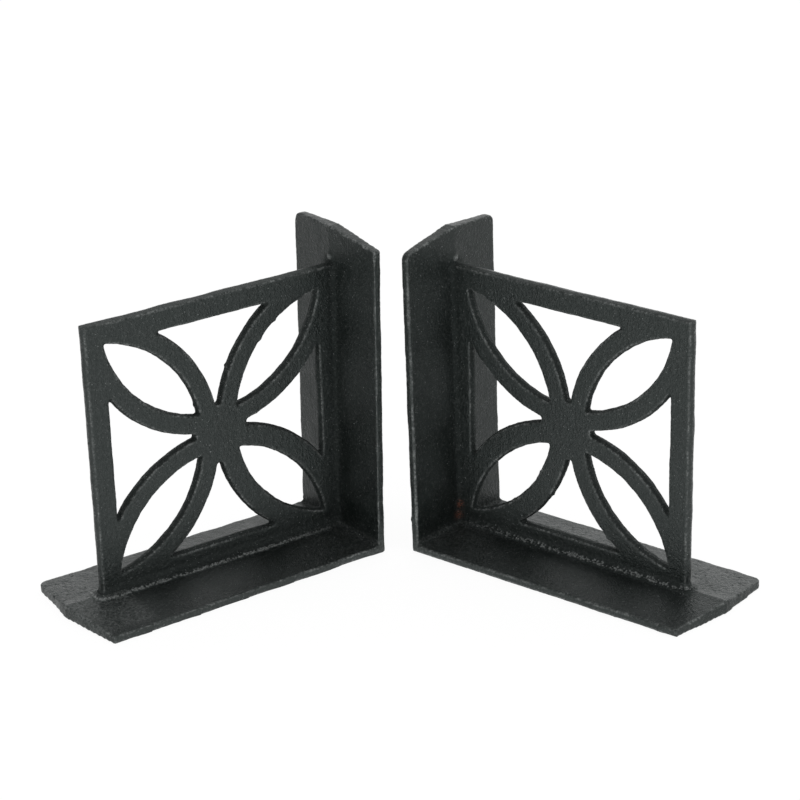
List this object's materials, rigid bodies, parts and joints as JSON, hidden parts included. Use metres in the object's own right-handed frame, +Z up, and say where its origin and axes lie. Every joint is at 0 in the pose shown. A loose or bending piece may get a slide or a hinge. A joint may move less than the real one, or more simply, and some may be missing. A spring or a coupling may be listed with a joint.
{
  "type": "pair of book ends",
  "caption": "Pair of black cast-iron book ends, each an L of two flanges with a square lattice web of pointed petals standing between them.",
  "frame": {"origin": "on the surface that both book ends stand on, under the middle of the pair's box", "axes": "+X along the pair from the left book end to the right one, +Y to the back, where the two uprights open away from each other, +Z up"},
  "size_m": [0.3011, 0.1364, 0.141],
  "materials": {
    "black_paint": "satin black paint over the grainy skin of a sand casting"
  },
  "bodies": {
    "left": {"left_bookend": "black_paint"},
    "right": {"right_bookend": "black_paint"}
  },
  "joints": [
    {"name": "pair_spacing", "type": "slide", "parent": "left", "child": "right", "axis": [1, 0, 0], "range_m": [0, 0.3]}
  ]
}
